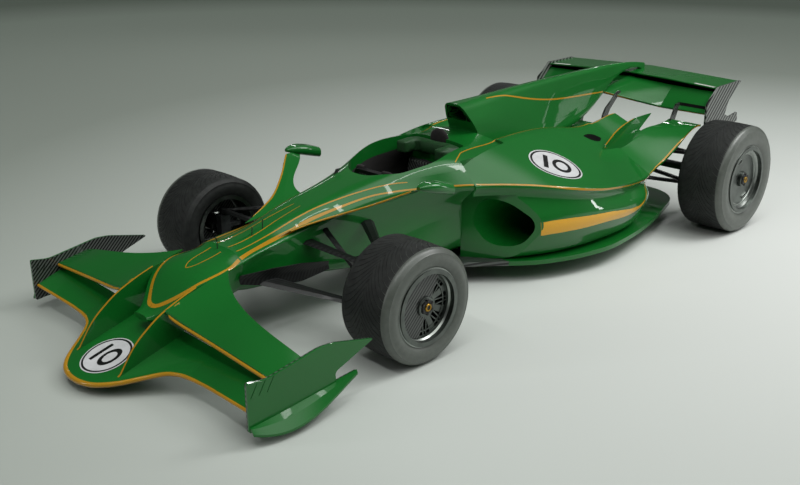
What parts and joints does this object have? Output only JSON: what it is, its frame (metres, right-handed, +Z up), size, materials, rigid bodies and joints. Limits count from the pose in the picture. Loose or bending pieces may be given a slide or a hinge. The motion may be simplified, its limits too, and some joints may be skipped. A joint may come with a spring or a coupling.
{
  "type": "race car",
  "caption": "Open-wheel single-seat race car with winged nose, hollow cockpit, ducted sidepods and rear wing; front wheels steer together and all wheels spin.",
  "frame": {"origin": "on the ground under the middle of the car's box", "axes": "+X forward to the nose, +Y to the car's left, +Z up"},
  "size_m": [4.3307, 2, 0.9052],
  "materials": {
    "green_paint": "deep green gloss paint",
    "carbon_weave": "clear-coated carbon twill",
    "black_trim": "matte black",
    "cast_alloy": "cast alloy",
    "shaft_steel": "machined steel",
    "rim_alloy": "satin metal",
    "tyre_rubber": "rubber"
  },
  "bodies": {
    "chassis": {"nose_cone": "green_paint", "monocoque": "green_paint", "front_wing_main_plane": "green_paint", "front_wing_flaps": "green_paint", "sidepod_left": "green_paint", "sidepod_right": "green_paint", "engine_cover": "green_paint", "rear_deck": "green_paint", "mirror_left": "green_paint", "mirror_right": "green_paint", "rear_wing_main_plane": "green_paint", "rear_wing_flap": "green_paint", "front_endplate_left": "green_paint", "front_endplate_right": "green_paint", "floor": "green_paint", "rear_endplate_left": "carbon_weave", "rear_endplate_right": "carbon_weave", "rear_wing_struts": "carbon_weave", "front_upper_wishbones": "carbon_weave", "front_lower_wishbones": "carbon_weave", "front_pushrods": "carbon_weave", "rear_upper_wishbones": "carbon_weave", "rear_lower_wishbones": "carbon_weave", "seat": "carbon_weave", "headrest": "black_trim", "steering_wheel": "black_trim", "skid_plank": "black_trim", "engine_block": "cast_alloy", "gearbox": "cast_alloy", "rear_uprights": "cast_alloy"},
    "knuckle_left": {"upright_front_left": "cast_alloy"},
    "knuckle_right": {"upright_front_right": "cast_alloy"},
    "rack": {"steering_rack": "shaft_steel"},
    "wheel_front_left": {"tyre_front_left": "tyre_rubber", "rim_front_left": "rim_alloy", "wheel_cover_front_left": "carbon_weave"},
    "wheel_front_right": {"tyre_front_right": "tyre_rubber", "rim_front_right": "rim_alloy", "wheel_cover_front_right": "carbon_weave"},
    "wheel_rear_left": {"tyre_rear_left": "tyre_rubber", "rim_rear_left": "rim_alloy", "driveshaft_left": "shaft_steel"},
    "wheel_rear_right": {"tyre_rear_right": "tyre_rubber", "rim_rear_right": "rim_alloy", "driveshaft_right": "shaft_steel"}
  },
  "joints": [
    {"name": "steer_left", "type": "hinge", "parent": "chassis", "child": "knuckle_left", "pos_m": [0.935, 0.64, 0.27], "axis": [0, 0, 1], "range_deg": [-18, 18]},
    {"name": "steer_right", "type": "hinge", "parent": "chassis", "child": "knuckle_right", "pos_m": [0.935, -0.64, 0.27], "axis": [0, 0, 1], "range_deg": [-18, 18]},
    {"name": "rack_slide", "type": "slide", "parent": "chassis", "child": "rack", "axis": [0, -1, 0], "range_m": [-0.031, 0.031]},
    {"name": "spin_front_left", "type": "hinge", "parent": "knuckle_left", "child": "wheel_front_left", "pos_m": [0.935, 0.7465, 0.27], "axis": [0, 1, 0], "continuous": true},
    {"name": "spin_front_right", "type": "hinge", "parent": "knuckle_right", "child": "wheel_front_right", "pos_m": [0.935, -0.7465, 0.27], "axis": [0, 1, 0], "continuous": true},
    {"name": "spin_rear_left", "type": "hinge", "parent": "chassis", "child": "wheel_rear_left", "pos_m": [-1.697, 0.85, 0.326], "axis": [0, 1, 0], "continuous": true},
    {"name": "spin_rear_right", "type": "hinge", "parent": "chassis", "child": "wheel_rear_right", "pos_m": [-1.697, -0.85, 0.326], "axis": [0, 1, 0], "continuous": true}
  ],
  "couplings": [
    {"joint": "steer_right", "follows": "steer_left", "ratio": 1},
    {"joint": "rack_slide", "follows": "steer_left", "m_per_rad": 0.0984}
  ]
}
